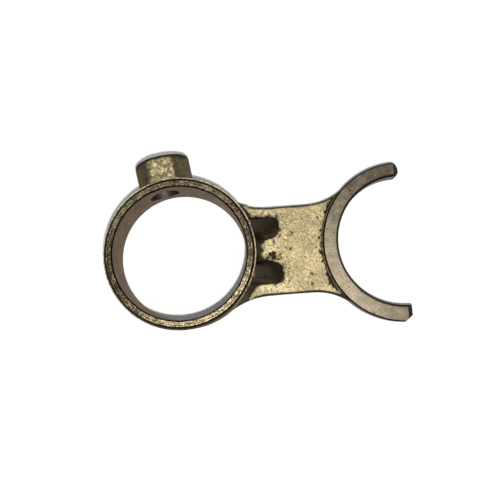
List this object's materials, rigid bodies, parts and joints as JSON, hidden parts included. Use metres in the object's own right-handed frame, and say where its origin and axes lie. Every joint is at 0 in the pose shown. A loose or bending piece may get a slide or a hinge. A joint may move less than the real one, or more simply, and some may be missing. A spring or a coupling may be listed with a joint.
{
  "type": "shift fork",
  "caption": "Cast brass gear shift fork: a bored collar with a radial guide pin lug, carried on a flat gusseted web that ends in an open half-round claw for a sliding gear's groove.",
  "frame": {"origin": "on the collar bore's axis, at the collar's lower face, which the part rests on", "axes": "+Z along the collar bore, from the web's side to the collar's far end; +X along the web to the claw; the guide pin lug points close to +Y"},
  "size_m": [0.0792, 0.0484, 0.0148],
  "materials": {
    "cast_brass": "as cast, with turned and milled working faces"
  },
  "bodies": {
    "root": {"shift_fork": "cast_brass"}
  },
  "joints": []
}
